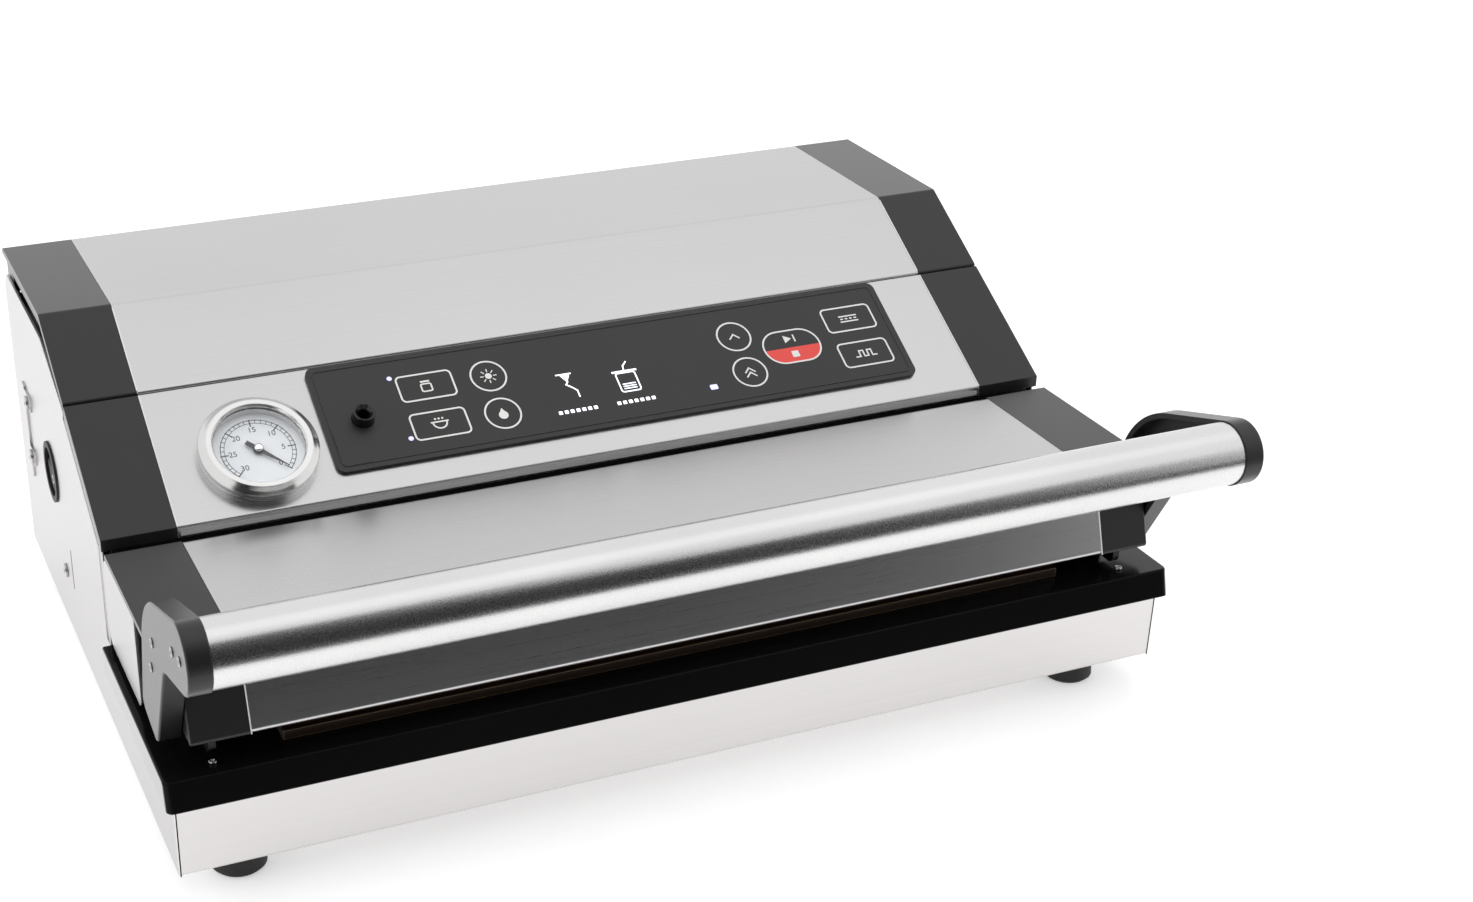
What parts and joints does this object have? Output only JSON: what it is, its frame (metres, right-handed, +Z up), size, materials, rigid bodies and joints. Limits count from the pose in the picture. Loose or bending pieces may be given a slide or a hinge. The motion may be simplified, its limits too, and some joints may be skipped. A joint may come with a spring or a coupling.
{
  "type": "vacuum sealer",
  "caption": "Countertop vacuum sealer: steel body, hinged sealing lid with a pull-down bar handle and latch, sloped key panel, dial gauge and a hinged roll cover over the bag bay.",
  "frame": {"origin": "on the floor under the middle of the whole box, with the lid down and the handle up", "axes": "+X to the right seen from the front, +Y to the back, +Z up; the lid and handle face -Y"},
  "size_m": [0.4368, 0.3472, 0.1626],
  "materials": {
    "steel": "satin brushed stainless sheet",
    "hardware_steel": "plain steel hardware",
    "deck_black": "glossy black moulding",
    "strip_grey": "dark grey satin moulding",
    "arm_grey": "dark grey satin moulding",
    "inner_black": "black moulding",
    "tube_aluminium": "satin anodised tube",
    "bar_aluminium": "extruded bar",
    "pump_aluminium": "die-cast pump body",
    "winding": "blackened motor, core and coil",
    "element": "resistance strip",
    "tape": "coated glass cloth tape",
    "foam": "soft black foam",
    "pad_silicone": "red silicone strip",
    "foot_rubber": "black rubber",
    "chrome_ring": "polished ring",
    "dial_white": "white printed scale",
    "needle_black": "black pointer",
    "lens": "clear flat window",
    "port_black": "black moulded socket",
    "board": "green circuit board",
    "cutter_red": "red moulded slider",
    "rocker_black": "black rocker",
    "key_black": "black key cap"
  },
  "bodies": {
    "base": {"base_pan": "steel", "side_panel_left": "steel", "side_panel_right": "steel", "rear_panel": "steel", "fascia_panel": "steel", "latch_strikes": "hardware_steel", "lid_hinge_brackets": "hardware_steel", "deck": "deck_black", "control_plate": "deck_black", "fascia_end_left": "strip_grey", "fascia_end_right": "strip_grey", "inner_chassis": "inner_black", "roll_bay": "inner_black", "gauge_case": "inner_black", "power_inlet": "inner_black", "switch_bezel": "inner_black", "seal_bar": "bar_aluminium", "vacuum_pump": "pump_aluminium", "pump_motor": "winding", "transformer": "winding", "release_valve": "winding", "heating_element": "element", "seal_tape": "tape", "lower_gasket": "foam", "rubber_feet": "foot_rubber", "vacuum_hose": "foot_rubber", "gauge_bezel": "chrome_ring", "gauge_dial": "dial_white", "gauge_lens": "lens", "accessory_port": "port_black", "control_board": "board"},
    "lid": {"lid_skin": "steel", "lid_frame": "inner_black", "lid_end_cap_left": "strip_grey", "lid_end_cap_right": "strip_grey", "lid_side_plates": "steel", "lid_liner": "inner_black", "upper_gasket": "foam", "pressure_pad": "pad_silicone"},
    "handle": {"handle_tube": "tube_aluminium", "handle_arm_left": "arm_grey", "handle_arm_right": "arm_grey", "handle_pivots": "hardware_steel"},
    "roll_cover": {"cover_skin": "steel", "cover_liner": "inner_black", "cover_end_cap_left": "strip_grey", "cover_end_cap_right": "strip_grey"},
    "cutter": {"bag_cutter": "cutter_red"},
    "needle": {"gauge_needle": "needle_black"},
    "rocker": {"power_rocker": "rocker_black"},
    "canister_key": {"canister_key": "key_black"},
    "marinate_key": {"marinate_key": "key_black"},
    "dry_key": {"dry_key": "key_black"},
    "moist_key": {"moist_key": "key_black"},
    "gentle_key": {"gentle_key": "key_black"},
    "normal_key": {"normal_key": "key_black"},
    "start_key": {"start_key": "key_black"},
    "seal_key": {"seal_key": "key_black"},
    "pulse_key": {"pulse_key": "key_black"}
  },
  "joints": [
    {"name": "lid_hinge", "type": "hinge", "parent": "base", "child": "lid", "pos_m": [0, -0.0339, 0.092], "axis": [-1, 0, 0], "range_deg": [0, 75]},
    {"name": "handle_press", "type": "hinge", "parent": "lid", "child": "handle", "pos_m": [0, -0.1049, 0.089], "axis": [1, 0, 0], "range_deg": [0, 36]},
    {"name": "cover_hinge", "type": "hinge", "parent": "base", "child": "roll_cover", "pos_m": [0, 0.1591, 0.147], "axis": [-1, 0, 0], "range_deg": [0, 75]},
    {"name": "cutter_slide", "type": "slide", "parent": "base", "child": "cutter", "axis": [1, 0, 0], "range_m": [0, 0.3]},
    {"name": "needle_swing", "type": "hinge", "parent": "base", "child": "needle", "pos_m": [-0.1439, 0.00531, 0.11915], "axis": [0, -0.5, 0.866], "range_deg": [0, 270], "stiffness_Nm_per_rad": 0.0001},
    {"name": "rocker_tilt", "type": "hinge", "parent": "base", "child": "rocker", "pos_m": [-0.21, 0.0891, 0.086], "axis": [0, -1, 0], "range_deg": [0, 24]},
    {"name": "canister_key_press", "type": "slide", "parent": "base", "child": "canister_key", "axis": [0, -0.5, 0.866], "range_m": [-0.0005, 0], "stiffness_N_per_m": 600},
    {"name": "marinate_key_press", "type": "slide", "parent": "base", "child": "marinate_key", "axis": [0, -0.5, 0.866], "range_m": [-0.0005, 0], "stiffness_N_per_m": 600},
    {"name": "dry_key_press", "type": "slide", "parent": "base", "child": "dry_key", "axis": [0, -0.5, 0.866], "range_m": [-0.0005, 0], "stiffness_N_per_m": 600},
    {"name": "moist_key_press", "type": "slide", "parent": "base", "child": "moist_key", "axis": [0, -0.5, 0.866], "range_m": [-0.0005, 0], "stiffness_N_per_m": 600},
    {"name": "gentle_key_press", "type": "slide", "parent": "base", "child": "gentle_key", "axis": [0, -0.5, 0.866], "range_m": [-0.0005, 0], "stiffness_N_per_m": 600},
    {"name": "normal_key_press", "type": "slide", "parent": "base", "child": "normal_key", "axis": [0, -0.5, 0.866], "range_m": [-0.0005, 0], "stiffness_N_per_m": 600},
    {"name": "start_key_press", "type": "slide", "parent": "base", "child": "start_key", "axis": [0, -0.5, 0.866], "range_m": [-0.0005, 0], "stiffness_N_per_m": 600},
    {"name": "seal_key_press", "type": "slide", "parent": "base", "child": "seal_key", "axis": [0, -0.5, 0.866], "range_m": [-0.0005, 0], "stiffness_N_per_m": 600},
    {"name": "pulse_key_press", "type": "slide", "parent": "base", "child": "pulse_key", "axis": [0, -0.5, 0.866], "range_m": [-0.0005, 0], "stiffness_N_per_m": 600}
  ]
}
